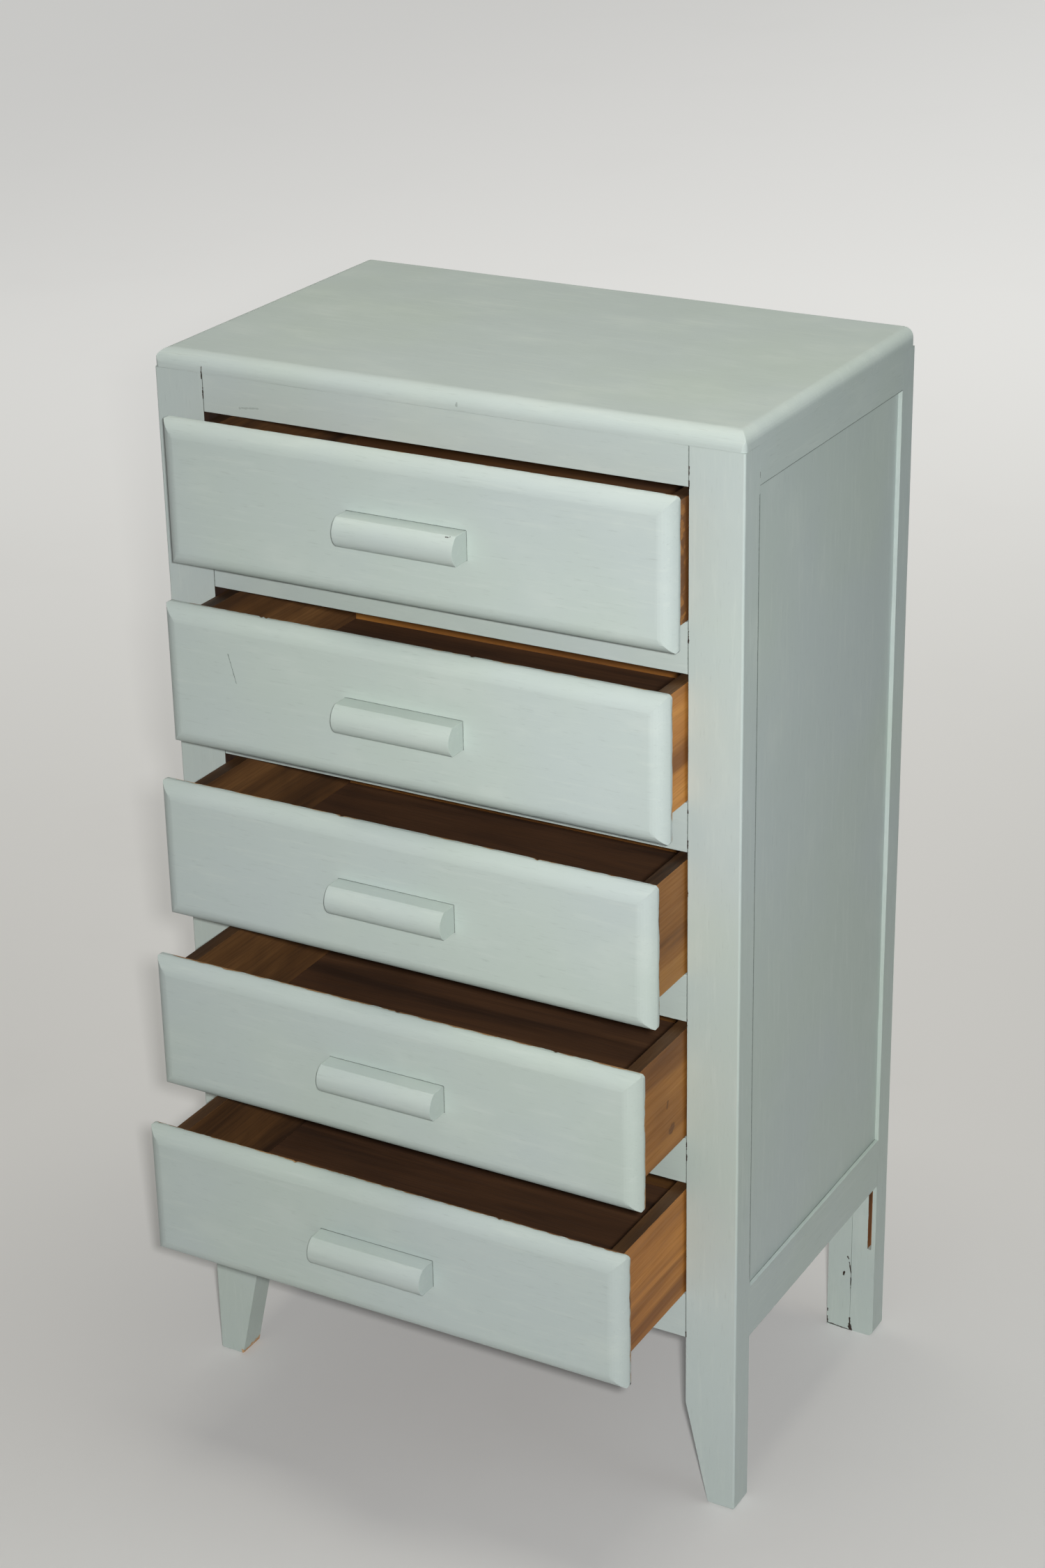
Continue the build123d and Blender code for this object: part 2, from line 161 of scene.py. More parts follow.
class Shader:
    """A material's node tree, with a short call for each kind of node used here."""

    def __init__(self, name):
        self.material = bpy.data.materials.new(name)
        self.material.use_nodes = True
        self.tree = self.material.node_tree
        self.tree.nodes.clear()
        self.point = self.add("ShaderNodeTexCoord").outputs["Object"]

    def add(self, kind, **settings):
        node = self.tree.nodes.new(kind)
        for key, value in settings.items():
            setattr(node, key, value)
        return node

    def put(self, socket, value):
        if isinstance(value, bpy.types.NodeSocket):
            self.tree.links.new(value, socket)
        else:
            socket.default_value = value

    def math(self, operation, *values):
        node = self.add("ShaderNodeMath", operation=operation)
        for socket, value in zip(node.inputs, values):
            self.put(socket, value)
        return node.outputs[0]

    def vector(self, operation, first, second):
        node = self.add("ShaderNodeVectorMath", operation=operation)
        self.put(node.inputs[0], first)
        self.put(node.inputs["Scale" if operation == "SCALE" else 1], second)
        gives_number = operation in ("DISTANCE", "DOT_PRODUCT")
        return node.outputs["Value" if gives_number else "Vector"]

    def along(self, point, grain, slow, fast):
        """The point, scaled slowly along the grain axis and fast across it."""
        scale = [slow if axis == grain else fast for axis in "XYZ"]
        return self.vector("MULTIPLY", point, scale)

    def noise(self, point, scale=1.0, detail=2.0, roughness=0.5, distortion=0.0):
        node = self.add("ShaderNodeTexNoise")
        self.put(node.inputs["Vector"], point)
        node.inputs["Scale"].default_value = scale
        node.inputs["Detail"].default_value = detail
        node.inputs["Roughness"].default_value = roughness
        node.inputs["Distortion"].default_value = distortion
        return node.outputs["Fac"]

    def ramp(self, value, low, high, to_low=0.0, to_high=1.0):
        """A smooth step from to_low, where value is low, up to to_high, where it is high."""
        node = self.add("ShaderNodeMapRange", interpolation_type="SMOOTHSTEP")
        for socket, number in zip(node.inputs, (value, low, high, to_low, to_high)):
            self.put(socket, number)
        return node.outputs["Result"]

    def blend(self, share, first, second):
        """The first colour where share is 0, the second where it is 1."""
        node = self.add("ShaderNodeMix", data_type="RGBA")
        self.put(node.inputs["Factor"], share)
        self.put(node.inputs[MIX_FIRST], first)
        self.put(node.inputs[MIX_SECOND], second)
        return node.outputs[MIX_RESULT]

    def attribute(self, name):
        return self.add("ShaderNodeAttribute", attribute_name=name).outputs["Fac"]

    def near_line(self, start, end, radius, ragged):
        """1 within about radius of the line from start to end, and 0 further off."""
        span = Vector(end) - Vector(start)
        offset = self.vector("SUBTRACT", self.point, tuple(start))
        share = self.vector("DOT_PRODUCT", offset, tuple(span / max(span.length_squared, MM**2)))
        share = self.math("MINIMUM", self.math("MAXIMUM", share, 0.0), 1.0)
        distance = self.vector("DISTANCE", offset, self.vector("SCALE", tuple(span), share))
        distance = self.math("MULTIPLY_ADD", ragged, radius * 4, distance)
        return self.ramp(distance, radius * 0.75, radius * 1.25, to_low=1.0, to_high=0.0)

    def bump(self, height, distance, normal=None):
        node = self.add("ShaderNodeBump")
        node.inputs["Distance"].default_value = distance
        self.put(node.inputs["Height"], height)
        if normal is not None:
            self.put(node.inputs["Normal"], normal)
        return node.outputs["Normal"]

    def surface(self, colour, roughness, normal, glow=0.0, **uniform):
        """The finished material. The uniform values are named after their sockets."""
        shader = self.add("ShaderNodeBsdfPrincipled")
        self.put(shader.inputs["Emission Strength"], glow)
        self.put(shader.inputs["Base Color"], colour)
        self.put(shader.inputs["Roughness"], roughness)
        self.put(shader.inputs["Normal"], normal)
        for socket, value in uniform.items():
            shader.inputs[socket.replace("_", " ").title()].default_value = value
        output = self.add("ShaderNodeOutputMaterial")
        self.put(output.inputs["Surface"], shader.outputs[0])
        return self.material


# How far the grain of one board is shifted against the next, so that no two look the same.
BOARD_SHIFT = (0.31, 0.17, 0.23)


def wood_grain(shader, point, grain, pale, middle, dark):
    """The colour and relief at a point of bare wood whose grain runs along one axis."""
    long_figure = shader.along(point, grain, slow=1.6, fast=26)
    figure = shader.noise(long_figure, detail=5.0, roughness=0.6, distortion=0.7)
    fibres = shader.noise(shader.along(point, grain, slow=14, fast=520), detail=3.0, roughness=0.6)
    stain = shader.noise(point, scale=7.0, detail=3.0, roughness=0.6)
    colour = shader.blend(shader.ramp(figure, 0.32, 0.56), dark, middle)
    colour = shader.blend(shader.ramp(figure, 0.52, 0.74), colour, pale)
    colour = shader.blend(shader.ramp(fibres, 0.3, 0.55, to_low=0.3, to_high=0.0), colour, dark)
    colour = shader.blend(shader.ramp(stain, 0.45, 0.75, to_high=0.45), colour, dark)
    return colour, shader.math("ADD", fibres, shader.math("MULTIPLY", figure, 0.5))


def make_wood(name, grain, pale, middle, dark, board=0, tone=1.0, dark_patches=()):
    """Old unpainted softwood or plywood. Each board has a figure, a tone and dark patches of its own."""
    shader = Shader(name)
    shifted = shader.vector("ADD", shader.point, tuple(shift * board for shift in BOARD_SHIFT))
    tones = [tuple(channel * tone for channel in colour[:3]) + (1.0,) for colour in (pale, middle, dark)]
    colour, relief = wood_grain(shader, shifted, grain, *tones)
    ragged = shader.math("SUBTRACT", shader.noise(shader.point, scale=120), 0.5)
    for start, end, radius in dark_patches:
        colour = shader.blend(shader.near_line(start, end, radius, ragged), colour, tones[2])
    roughness = shader.ramp(relief, 0.3, 1.1, to_low=0.72, to_high=0.5)
    return shader.surface(colour, roughness, shader.bump(relief, WOOD_RELIEF))


PAINT_GREEN = shade(182, 195, 188)
PAINT_BLUE = shade(182, 194, 192)
PAINT_LIGHT = shade(197, 207, 201)
# Dirt, and the painted shade of the dark lines along corners, joints and arrises.
PAINT_DIRT_AND_SHADE = shade(88, 100, 95)
CHIP_DARK = shade(50, 36, 28)
CHIP_TAN = shade(200, 156, 110)
STEEL_GREY = shade(122, 116, 108)
RUST = shade(84, 52, 34)
# Each wood has a pale, a middle and a dark colour.
OLD_WOOD = (shade(104, 68, 42), shade(76, 48, 30), shade(44, 27, 18))
OUTER_PINE = (shade(186, 130, 61), shade(166, 110, 47), shade(116, 72, 30))
INNER_PINE = (shade(146, 105, 62), shade(108, 75, 43), shade(58, 39, 24))
PLY = (shade(112, 80, 54), shade(90, 62, 41), shade(60, 41, 28))
# The back panel's plywood is made paler as painted light, standing in for light that hardly reaches the
# back.
LIGHTENED_BACK_PLY = (shade(150, 110, 74), shade(124, 88, 58), shade(84, 58, 38))
WORN_EDGE = (shade(206, 172, 124), shade(176, 138, 92), shade(110, 76, 48))
GROOVE_WOOD = (shade(200, 142, 88), shade(168, 114, 66), shade(100, 64, 38))


def make_paint(name, grain, chips=(), scuffs=(), under=OLD_WOOD):
    """Satin paint brushed on along one axis, worn through to dark wood at seams and laps.

    Three attributes of the mesh say where: lap is how far a point lies past the line up to which
    paint was laid, seam how far it lies past a joint beside which the paint chips, and crease how
    far it lies inside a dark line of dirt and painted shade. Chips and scuffs are lines, each with
    its radius and its colour or strength. Under is the wood that shows.
    """
    shader = Shader(name)
    point = shader.point
    cloud = shader.noise(point, scale=3.4, detail=3.0, roughness=0.55)
    patch = shader.noise(shader.along(point, grain, slow=12, fast=26), detail=3.0, roughness=0.6)
    strokes = shader.noise(shader.along(point, grain, slow=16, fast=190), detail=3.0, roughness=0.66)
    hairs = shader.noise(shader.along(point, grain, slow=60, fast=700), roughness=0.6)
    colour = shader.blend(shader.ramp(cloud, 0.36, 0.64), PAINT_GREEN, PAINT_BLUE)
    colour = shader.blend(shader.ramp(patch, 0.5, 0.78, to_high=0.3), colour, PAINT_LIGHT)
    colour = shader.blend(shader.ramp(strokes, 0.52, 0.74, to_high=0.3), colour, PAINT_LIGHT)
    colour = shader.blend(shader.ramp(hairs, 0.2, 0.42, to_low=0.14, to_high=0.0), colour, PAINT_DIRT_AND_SHADE)

    flecks = shader.math("SUBTRACT", shader.noise(point, scale=340, detail=4.0, roughness=0.65), 0.5)
    for start, end, radius, strength in scuffs:
        mark = shader.math("MULTIPLY", shader.near_line(start, end, radius, flecks), strength)
        colour = shader.blend(mark, colour, PAINT_DIRT_AND_SHADE)
    # The crease lines are dirt and painted shade: thin painted shadows round the handles and along
    # arrises.
    crease = shader.math("MULTIPLY_ADD", flecks, CREASE_SPREAD, shader.attribute("crease"))
    colour = shader.blend(shader.ramp(crease, 0.0, PAINT_EDGE, to_high=0.8), colour, PAINT_DIRT_AND_SHADE)

    ragged = shader.math("SUBTRACT", shader.noise(point, scale=60, detail=4.0), 0.5)
    lap = shader.math("MULTIPLY_ADD", ragged, LAP_SPREAD, shader.attribute("lap"))
    flaking = shader.noise(point, scale=48, detail=4.0, roughness=0.7)
    reach = shader.ramp(flaking, 0.62, 0.8, to_high=SEAM_REACH)
    seam = shader.math("ADD", shader.attribute("seam"), reach)
    bare_lap, bare_seam = shader.ramp(lap, 0.0, LAP_EDGE), shader.ramp(seam, 0.0, PAINT_EDGE)
    bare = shader.math("MAXIMUM", bare_lap, bare_seam)
    wood, _ = wood_grain(shader, point, grain, *under)
    colour = shader.blend(bare, colour, wood)
    for start, end, radius, chip_colour in chips:
        chip = shader.near_line(start, end, radius, flecks)
        colour = shader.blend(chip, colour, chip_colour)
        bare = shader.math("MAXIMUM", bare, chip)

    brushed = shader.bump(shader.math("MULTIPLY_ADD", hairs, 0.35, strokes), BRUSH_RELIEF)
    normal = shader.bump(shader.math("SUBTRACT", 1.0, bare), PAINT_THICKNESS, brushed)
    satin = shader.ramp(patch, 0.3, 0.7, to_low=0.5, to_high=0.6)
    return shader.surface(colour, shader.math("MULTIPLY_ADD", bare, 0.25, satin), normal)


def make_steel():
    """Dull, slightly rusted steel of screws and pins."""
    shader = Shader("old_steel")
    spots = shader.noise(shader.point, scale=420, detail=4.0, roughness=0.65)
    rust = shader.ramp(spots, 0.5, 0.7)
    colour = shader.blend(rust, STEEL_GREY, RUST)
    normal = shader.bump(shader.noise(shader.point, scale=900, detail=3.0), STEEL_RELIEF)
    roughness = shader.ramp(rust, 0.0, 1.0, to_low=0.38, to_high=0.8)
    return shader.surface(colour, roughness, normal, metallic=0.8)


paint = {grain: make_paint(f"painted_wood_{grain.lower()}", grain) for grain in "XYZ"}
inner_pine = make_wood("drawer_inner_wood", "Y", *INNER_PINE)
edge_pine = make_wood("drawer_edge_wood", "Y", *INNER_PINE, tone=0.6)
plywood = make_wood("plywood_x", "X", *PLY)
bare_wood = {grain: make_wood(f"bare_wood_{grain.lower()}", grain, *OLD_WOOD) for grain in "XY"}
steel = make_steel()


# --- refined copies of the CAD pieces --------------------------------------------------


def open_mesh(node):
    """The mesh of a CAD node to work on, welded, with its flat faces whole."""
    bm = bmesh.new()
    bm.from_mesh(frame["nodes"][node].data)
    bmesh.ops.remove_doubles(bm, verts=bm.verts, dist=WELD)
    bmesh.ops.dissolve_limit(bm, angle_limit=FLAT_ANGLE, verts=bm.verts, edges=bm.edges)
    return bm


def is_sharp(edge):
    """Whether the surface turns enough at an edge for the edge to be rounded."""
    return edge.is_manifold and edge.calc_face_angle(0) > SHARP_ANGLE


def soften(bm, width, chosen, segments=3):
    """Round the sharp edges for which chosen(middle of the edge) is true."""
    edges = [e for e in bm.edges if is_sharp(e) and chosen((e.verts[0].co + e.verts[1].co) / 2)]
    bmesh.ops.bevel(
        bm, geom=edges, offset=width, segments=segments, profile=0.5, affect="EDGES", clamp_overlap=True
    )


def cut_across(bm, axis, places):
    """Cut every face along the planes at these places on one axis (0, 1 or 2)."""
    normal = Vector([float(axis == i) for i in range(3)])
    for place in places:
        geometry = bm.verts[:] + bm.edges[:] + bm.faces[:]
        bmesh.ops.bisect_plane(bm, geom=geometry, dist=WELD, plane_co=normal * place, plane_no=normal)


def places_between(low, high, step):
    """Even places between low and high, about step apart."""
    count = max(1, round((high - low) / step))
    return [low + (high - low) * i / count for i in range(1, count)]


def cut_fine(bm, box, step):
    """Cut a mesh into cells of about step, so that it can carry dents."""
    for axis in range(3):
        if box[1][axis] - box[0][axis] > 3 * step:
            cut_across(bm, axis, places_between(box[0][axis], box[1][axis], step))


def roughen(bm, seed):
    """Shift every point a little along its normal: slow dents, and quicker ripples."""
    bm.normal_update()
    shift = Vector((seed * 3.7, seed * 1.9, seed * 5.3))
    moves = []
    for vert in bm.verts:
        slow = noise.noise(vert.co * DENT_SCALE + shift)
        quick = noise.noise(vert.co * RIPPLE_SCALE + shift)
        moves.append(vert.normal * (slow * DENT + quick * RIPPLE))
    for vert, move in zip(bm.verts, moves):
        vert.co += move


def add_measure(bm, name, measure):
    """Store measure(point) at each vertex, for the paint to read."""
    layer = bm.verts.layers.float.new(name)
    for vert in bm.verts:
        vert[layer] = measure(vert.co)


def nowhere(point):
    """The measure of a piece that has no such part."""
    return -1.0


def close_mesh(bm, node, name, materials):
    """Make the piece that stands for a CAD node, and let it ride on the node's body."""
    for face in bm.faces:
        face.smooth = True
    for edge in bm.edges:
        edge.smooth = edge.is_manifold and edge.calc_face_angle(0) < SMOOTH_ANGLE
    mesh = bpy.data.meshes.new(name)
    bm.to_mesh(mesh)
    bm.free()
    piece = bpy.data.objects.new(name, mesh)
    bpy.context.scene.collection.objects.link(piece)
    for material in materials:
        mesh.materials.append(material)
    weighted = piece.modifiers.new("weighted_normals", "WEIGHTED_NORMAL")
    weighted.keep_sharp = True
    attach(piece, frame["nodes"][node]["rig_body"])
    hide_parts(node)


# How far from a joint a point may be and still count as on it.
NEAR = 0.6 * MM


def on_a_seam(point):
    """Whether a point is on a joint between carcass pieces, which paint has nearly filled."""
    at_post = abs(abs(point.x) - POST_INNER_X) < NEAR and BOTTOM_Z + NEAR < point.z
    at_top = abs(point.z - TOP_SEAM_Z) < NEAR
    around_panel = abs(point.x) > PANEL_INNER_X and POST_BACK_Y - NEAR < point.y < REAR_POST_Y + NEAR
    at_strip = abs(abs(point.x) - LEG_SEAM_X) < NEAR and point.y > REAR_POST_Y - NEAR
    return at_post or at_top or around_panel or at_strip


def free_edge(point):
    """Whether a point is on an arris away from the joints."""
    return not on_a_seam(point)


def painted(node, material, lap=nowhere, seam=nowhere, crease=nowhere, step=CUT, cuts=(), edit=None):
    """A painted piece: arrises softened, surface a little uneven, bare parts and dark lines of dirt and
    painted shade measured.
    """
    bm = open_mesh(node)
    soften(bm, SOFT_ARRIS, free_edge)
    soften(bm, SEAM_ARRIS, on_a_seam, 1)
    cut_fine(bm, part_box(node), step)
    for axis, places in cuts:
        cut_across(bm, axis, places)
    add_measure(bm, "lap", lap)
    add_measure(bm, "seam", seam)
    add_measure(bm, "crease", crease)
    roughen(bm, len(node))
    if edit:
        edit(bm)
    close_mesh(bm, node, f"{node}_painted", [material])


def wooden(node, inner, outer=None, edge=None):
    """An unpainted piece with its arrises eased. Its outer side and its top edge may be other wood."""
    bm = open_mesh(node)
    soften(bm, WOOD_ARRIS, lambda point: True, 2)
    for face in bm.faces:
        if outer and face.normal.x * face.calc_center_median().x > SIDE_X / 2:
            face.material_index = 1
        elif edge and face.normal.z > 0.5:
            face.material_index = 2
    close_mesh(bm, node, f"{node}_wood", [wood for wood in (inner, outer, edge) if wood])


# --- carcass -----------------------------------------------------------------------------


# How far in front of a post's inner face its bare part begins, so that dents leave no paint there.
FACE_MARGIN = 0.25 * MM
# How far the paint runs into the groove below a side rail.
GROOVE_LAP = 0.3 * MM
# How far the painted shadow line on the ledge below a side panel reaches out, and how far down over
# its arris.
SILL_SHADOW = 0.9 * MM
SILL_DEPTH = 0.3 * MM
# How far inside the side panels their frame is bare.
PANEL_MARGIN = 2 * MM


def past_front(point):
    """Depth behind the line up to which the top and the underside of a front rail are painted."""
    return point.y - FRONT_Y - LAP


def past_post(point):
    """Distance past a post's inner face, which is bare above the legs."""
    return POST_INNER_X + FACE_MARGIN - abs(point.x) if point.z > BOTTOM_Z - WELD else -1.0


def in_groove(point):
    """Distance into the groove that runs on down the face of a rear post below the side rail."""
    if PANEL_INNER_X - WELD < abs(point.x) < PANEL_OUTER_X + WELD:
        return point.y - REAR_POST_Y - GROOVE_LAP
    return -1.0


def beside_post(point):
    """Distance past the joint where a front rail meets a post."""
    return abs(point.x) - POST_INNER_X


def at_post_joint(point):
    """Distance into the thin dark line on a front rail along that joint."""
    return beside_post(point) + CREASE


def at_panel_arris(point):
    """Distance into the painted shadow line along the arris of the frame round a side panel."""
    onto_rail = max(PANEL_LOW_Z - point.z, point.z - PANEL_HIGH_Z)
    onto_post = max(POST_BACK_Y - point.y, point.y - REAR_POST_Y) / 2
    return CREASE - max(onto_rail, onto_post, SIDE_X - abs(point.x))


def on_sill_shadow(point):
    """Distance into the painted shadow line on the ledge below a side panel, on top of the bottom rail.
    """
    on_ledge = point.z > PANEL_LOW_Z - SILL_DEPTH
    return PANEL_OUTER_X + SILL_SHADOW - abs(point.x) if on_ledge else -1.0


def inside_panel(point):
    """Distance past the line, a little inside the side panels, up to which there is paint."""
    return PANEL_INNER_X - PANEL_MARGIN - abs(point.x) if point.z > BOTTOM_Z else -1.0


def under_top(point):
    """Distance inside the painted rim of the top board's underside."""
    if point.z > TOP_SEAM_Z + WELD:
        return -1.0
    return min(SIDE_X - abs(point.x), REAR_Y - abs(point.y)) - 4 * LAP


# The marks that the photo shows. Each is a line with a radius and a chip's colour or a scuff's strength.


def on_front(x, z):
    return Vector((x, FRONT_Y, z))


def on_leg(x, z):
    """A point on the front of the rear right leg, x away from its glue seam."""
    return Vector((LEG_SEAM_X + x, REAR_POST_Y, z))


# Chipped stretches of the joint between the right post and the front rails, as heights.
RIGHT_CHIPS = (
    (0.987, 0.980), (0.975, 0.969), (0.842, 0.838), (0.690, 0.687), (0.662, 0.655), (0.373, 0.369),
    (0.361, 0.355), (0.178, 0.173),
)
SEAM_CHIP = 0.5 * MM
right_chips = [
    (on_front(POST_INNER_X, high), on_front(POST_INNER_X, low), SEAM_CHIP, CHIP_DARK)
    for high, low in RIGHT_CHIPS
]

# The crack beside the left post runs straight up the top rail, then leans on into the top board.
CRACK_LOW, CRACK_HIGH = (0.982, 0.991), (0.999, 1.013)
CRACK_LEAN = 0.7 * MM
left_crack = [
    (on_front(-POST_INNER_X, CRACK_LOW[0]), on_front(-POST_INNER_X, CRACK_LOW[1]), SEAM_CHIP, CHIP_DARK),
    (
        on_front(-POST_INNER_X - CRACK_LEAN, CRACK_HIGH[0]), on_front(-POST_INNER_X, CRACK_HIGH[1]),
        0.4 * MM, CHIP_DARK,
    ),
]

FOOT_CHIP_X = -255 * MM
foot_chip = (
    Vector((FOOT_CHIP_X, FRONT_Y, 2 * MM)), Vector((FOOT_CHIP_X, POST_BACK_Y, 4 * MM)), 2.8 * MM, CHIP_TAN
)
side_chip = (
    Vector((SIDE_X, POST_BACK_Y, 0.981)), Vector((SIDE_X, POST_BACK_Y, 0.977)), 0.7 * MM, CHIP_DARK
)
top_dent = (on_front(20 * MM, TOP_Z - 11 * MM), on_front(20 * MM, TOP_Z - 7 * MM), 1.1 * MM, 0.4)
rail_scuff = (on_front(-195 * MM, 0.978), on_front(-176 * MM, 0.980), 0.7 * MM, 0.3)

# Chips of the rear right leg: x and height of both ends, then the radius, in millimetres.
LEG_CHIPS = (
    (-2, 78, 0, 66, 0.45), (0, 61, 0, 48, 0.45), (-7, 66, -8, 62, 0.8), (-4, 84, -3, 82, 0.6),
    (0, 14, 0, 8, 0.7), (0, 6, 1, 0, 1.7), (-24, 9, -24, 4, 1.0), (-24, 18, -24, 16, 0.7),
    (-24, 2, 0, 0, 0.5),
)
leg_chips = [
    (on_leg(x * MM, z * MM), on_leg(end_x * MM, end_z * MM), radius * MM, CHIP_DARK)
    for x, z, end_x, end_z, radius in LEG_CHIPS
]

rail_paint = make_paint("painted_rails", "X", right_chips + left_crack, [rail_scuff])
painted("top_board", make_paint("painted_top", "X", left_crack, [top_dent]), lap=under_top)
rails = ["front_top_rail", "front_bottom_rail"] + [f"divider_rail_{n}" for n in DRAWERS[:-1]]
for rail in rails:
    painted(rail, rail_paint, lap=past_front, seam=beside_post, crease=at_post_joint)
front_chips = {"left": left_crack + [foot_chip], "right": right_chips + [side_chip]}
rear_chips = {"left": (), "right": leg_chips}
# Posts are cut where the legs begin, so that the bare wood above ends in a straight line.
leg_cuts = [(2, [BOTTOM_Z - 0.2 * MM, BOTTOM_Z])]
for side in SIDES:
    post_paint = make_paint(f"painted_front_{side}_post", "Z", front_chips[side])
    painted(f"front_{side}_post", post_paint, seam=past_post, crease=at_panel_arris, cuts=leg_cuts)
    post_paint = make_paint(f"painted_rear_{side}_post", "Z", rear_chips[side], under=GROOVE_WOOD)
    painted(f"rear_{side}_post", post_paint, lap=in_groove, seam=past_post, cuts=leg_cuts)
    painted(f"{side}_side_panel", paint["Z"], lap=inside_panel, step=PANEL_CUT)
    painted(f"{side}_top_rail", paint["Y"], lap=inside_panel, crease=at_panel_arris)
    painted(f"{side}_bottom_rail", paint["Y"], lap=inside_panel, crease=on_sill_shadow)


# --- drawers -----------------------------------------------------------------------------

# Where the back of each front's top arris is chipped, as places along x in millimetres, and how far to
# either side and how deep each chip goes.
NOTCHES = {1: (), 2: (-148, -143, 60), 3: (-60, 131), 4: (5, 160), 5: (-90, 118)}
NOTCH_REACH = 2.5 * MM
NOTCH_DEPTH = 1.2 * MM
# How pale the outside of each drawer's side boards is, and its back board. The back boards' values
# are partly painted shade: lower where a drawer's back lies in shadow.
SIDE_TONE = {1: 0.85, 2: 1.25, 3: 0.75, 4: 0.9, 5: 1.3}
BACK_TONE_AND_SHADE = {1: 0.25, 2: 0.95, 3: 0.8, 4: 0.35, 5: 0.22}
# How wide a strip of bare wood shows along the back of each front's top arris, in millimetres.
WORN_STRIP = {1: 0.2, 2: 0.4, 3: 0.4, 4: 1.1, 5: 1.1}

DRAWER_SIDE_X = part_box("drawer_1_right_side")[1].x


def on_drawer_side(y, z):
    return Vector((DRAWER_SIDE_X, y, z))


# A dark patch on the first drawer's right side beside the post, and two knots in the fourth's.
DARK_PATCHES = {
    1: [(on_drawer_side(-0.166, 0.85), on_drawer_side(-0.166, 0.97), 14 * MM)],
    4: [
        (on_drawer_side(-0.197, 0.399), on_drawer_side(-0.193, 0.401), 2.6 * MM),
        (on_drawer_side(-0.204, 0.424), on_drawer_side(-0.202, 0.430), 1.2 * MM),
    ],
}
# A chip at the upper right of the first handle, and one at the lower right of the last front.
first_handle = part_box("drawer_1_handle")
handle_top_right = Vector((first_handle[1].x, first_handle[0].y, first_handle[1].z))
handle_chip = (
    handle_top_right + Vector((-9 * MM, 7 * MM, -1.5 * MM)),
    handle_top_right + Vector((-5 * MM, 7 * MM, -1.5 * MM)), 0.9 * MM, CHIP_DARK,
)
handle_paint = make_paint("painted_drawer_1_handle", "X", [handle_chip])
last_front, last_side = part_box("drawer_5_front"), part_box("drawer_5_left_side")
last_corner = Vector((last_front[1].x, last_side[0].y, last_front[0].z))
corner_chip = (
    last_corner - Vector((4 * MM, 4 * MM, 0)), last_corner + Vector((0, 0, 3 * MM)), 1.6 * MM, CHIP_DARK
)


def make_drawer(number):
    """The painted front and handle of a drawer, and its wooden box."""
    name = f"drawer_{number}"
    lip_back_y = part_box(f"{name}_left_side")[0].y
    front_low, front_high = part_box(f"{name}_front")
    face_y = front_low.y
    handle_low, handle_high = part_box(f"{name}_handle")

    def past_lip(point):
        """Distance past the line behind which the front is bare, round its edges and over its back."""
        distance = point.y - lip_back_y + WORN_STRIP[number] * MM
        if point.y > lip_back_y - WELD:
            distance += min(front_high.x - abs(point.x), point.z - front_low.z, front_high.z - point.z)
        return distance

    def round_handle(point):
        """Distance into the painted shadow line round the handle, on the face behind it."""
        if point.y > face_y + MM:
            return -1.0
        past_end = abs(point.x) - handle_high.x
        past_edge = max(handle_low.z - point.z, point.z - handle_high.z)
        return CREASE - max(past_end, past_edge)

    def notch(bm):
        """Sink the chipped places of the top back arris."""
        for place in NOTCHES[number]:
            for vert in bm.verts:
                at_top = vert.co.z > front_high.z - 2 * MM
                at_back = lip_back_y - 3 * MM < vert.co.y < lip_back_y + MM
                share = 1 - abs(vert.co.x - place * MM) / NOTCH_REACH
                if at_top and at_back and share > 0:
                    vert.co.z -= share * NOTCH_DEPTH

    def on_face(x, z):
        return Vector((x, face_y, z))

    # Two dents high on the first front, and the scratch on the second.
    scuffs = {
        1: [
            (on_face(72 * MM, 0.9745), on_face(77 * MM, 0.970), 1.6 * MM, 0.35),
            (on_face(94 * MM, 0.9735), on_face(104 * MM, 0.972), 1.3 * MM, 0.35),
        ],
        2: [(on_face(-175 * MM, 0.780), on_face(-168 * MM, 0.754), 0.3 * MM, 0.75)],
    }
    shifts = (-NOTCH_REACH, 0, NOTCH_REACH)
    notch_places = [place * MM + shift for place in NOTCHES[number] for shift in shifts]
    edges = [-handle_high.x - MM, -handle_high.x, handle_high.x, handle_high.x + MM]
    levels = [handle_low.z - MM, handle_low.z, handle_high.z, handle_high.z + MM]
    chips = [corner_chip] if number == 5 else ()
    front_paint = make_paint(f"painted_{name}", "X", chips, scuffs.get(number, ()), WORN_EDGE)
    cuts = [(0, notch_places + edges), (2, levels)]
    painted(f"{name}_front", front_paint, lap=past_lip, crease=round_handle, cuts=cuts, edit=notch)
    painted(f"{name}_handle", handle_paint if number == 1 else paint["X"])
    dark_patches = DARK_PATCHES.get(number, ())
    board = make_wood(f"{name}_side_wood", "Y", *OUTER_PINE, number, SIDE_TONE[number], dark_patches)
    back_board = make_wood(f"{name}_back_wood", "X", *OUTER_PINE, number, BACK_TONE_AND_SHADE[number])
    for side in SIDES:
        wooden(f"{name}_{side}_side", inner_pine, board, edge_pine)
    wooden(f"{name}_back", back_board)
    wooden(f"{name}_bottom", plywood)


for number in DRAWERS:
    make_drawer(number)


# --- pieces kept as the CAD has them -----------------------------------------------------


def dress(node, material):
    """Give a CAD node its finish."""
    mesh_object = frame["nodes"][node]
    for place in mesh_object.material_slots:
        place.link = "OBJECT"
        place.material = material


for node in ("left_drawer_runners", "right_drawer_runners", "drawer_guides"):
    dress(node, bare_wood["Y"])
for node in ("rear_top_rail", "rear_bottom_rail", "frame_dowels"):
    dress(node, bare_wood["X"])
